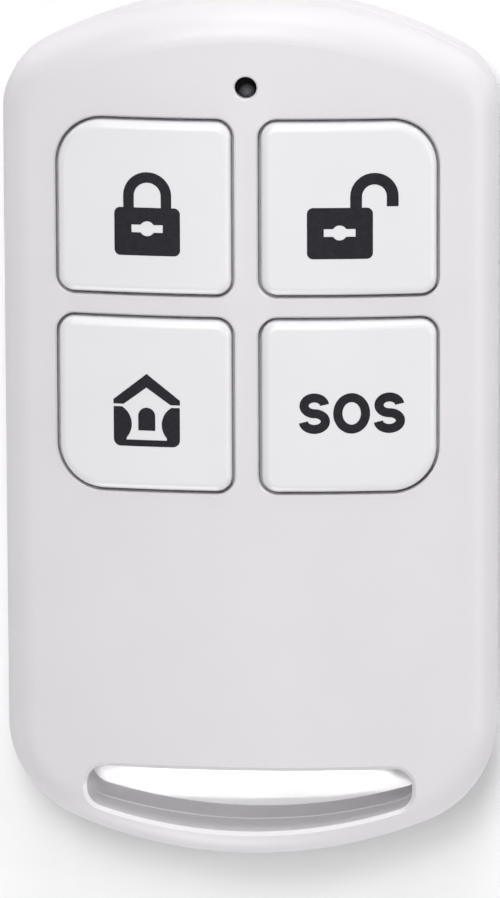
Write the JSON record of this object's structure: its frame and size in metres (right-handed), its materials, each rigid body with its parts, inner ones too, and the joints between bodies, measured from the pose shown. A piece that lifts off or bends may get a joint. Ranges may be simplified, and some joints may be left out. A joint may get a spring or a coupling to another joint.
{
  "type": "alarm key fob",
  "caption": "Small rounded remote key for an alarm: square press keys in windows, a lamp hole at one end and a strap slot through the other.",
  "frame": {"origin": "on the flat back, under the middle of the body", "axes": "+Z out of the face with the keys, +Y towards the lamp end, +X to the right of the face"},
  "size_m": [0.034, 0.0602, 0.0103],
  "materials": {
    "shell_plastic": "fine satin texture",
    "key_plastic": "soft gloss",
    "screw_steel": "plated",
    "board_laminate": "green solder mask",
    "tinned_leads": "tinned",
    "chip_moulding": "moulded",
    "resonator_ceramic": "fired",
    "sheet_metal": "rolled sheet",
    "ferrite": "matte",
    "capacitor_ceramic": "fired",
    "resistor_ceramic": "glazed",
    "printed_copper": "tinned print",
    "lamp_housing": "moulded",
    "lamp_resin": "smoked resin",
    "cell_steel": "nickel plated",
    "gasket_plastic": "moulded",
    "cell_filling": "nickel plated",
    "contact_metal": "nickel plated",
    "switch_moulding": "moulded",
    "stem_plastic": "moulded"
  },
  "bodies": {
    "case": {"front_shell": "shell_plastic", "rear_shell": "shell_plastic", "case_screws": "screw_steel", "circuit_board": "board_laminate", "switch_terminals": "tinned_leads", "encoder_chip": "chip_moulding", "encoder_leads": "tinned_leads", "transistor": "chip_moulding", "transistor_leads": "tinned_leads", "resonator_base": "resonator_ceramic", "resonator_lid": "sheet_metal", "tuning_inductor": "ferrite", "capacitors": "capacitor_ceramic", "resistors": "resistor_ceramic", "antenna_trace": "printed_copper", "lamp_base": "lamp_housing", "lamp_lens": "lamp_resin", "coin_cell_can": "cell_steel", "coin_cell_gasket": "gasket_plastic", "coin_cell_cap": "cell_filling", "battery_clip": "contact_metal", "battery_contact": "contact_metal", "switch_housing_lock": "switch_moulding", "switch_dome_lock": "sheet_metal", "switch_cover_lock": "sheet_metal", "switch_housing_unlock": "switch_moulding", "switch_dome_unlock": "sheet_metal", "switch_cover_unlock": "sheet_metal", "switch_housing_home": "switch_moulding", "switch_dome_home": "sheet_metal", "switch_cover_home": "sheet_metal", "switch_housing_sos": "switch_moulding", "switch_dome_sos": "sheet_metal", "switch_cover_sos": "sheet_metal"},
    "lock_key": {"key_lock": "key_plastic", "switch_stem_lock": "stem_plastic"},
    "unlock_key": {"key_unlock": "key_plastic", "switch_stem_unlock": "stem_plastic"},
    "home_key": {"key_home": "key_plastic", "switch_stem_home": "stem_plastic"},
    "sos_key": {"key_sos": "key_plastic", "switch_stem_sos": "stem_plastic"}
  },
  "joints": [
    {"name": "lock_key_press", "type": "slide", "parent": "case", "child": "lock_key", "axis": [0, 0, -1], "range_m": [0, 0.0003], "stiffness_N_per_m": 3000, "springref_m": -0.0002, "deforming": ["switch_dome_lock"]},
    {"name": "unlock_key_press", "type": "slide", "parent": "case", "child": "unlock_key", "axis": [0, 0, -1], "range_m": [0, 0.0003], "stiffness_N_per_m": 3000, "springref_m": -0.0002, "deforming": ["switch_dome_unlock"]},
    {"name": "home_key_press", "type": "slide", "parent": "case", "child": "home_key", "axis": [0, 0, -1], "range_m": [0, 0.0003], "stiffness_N_per_m": 3000, "springref_m": -0.0002, "deforming": ["switch_dome_home"]},
    {"name": "sos_key_press", "type": "slide", "parent": "case", "child": "sos_key", "axis": [0, 0, -1], "range_m": [0, 0.0003], "stiffness_N_per_m": 3000, "springref_m": -0.0002, "deforming": ["switch_dome_sos"]}
  ]
}
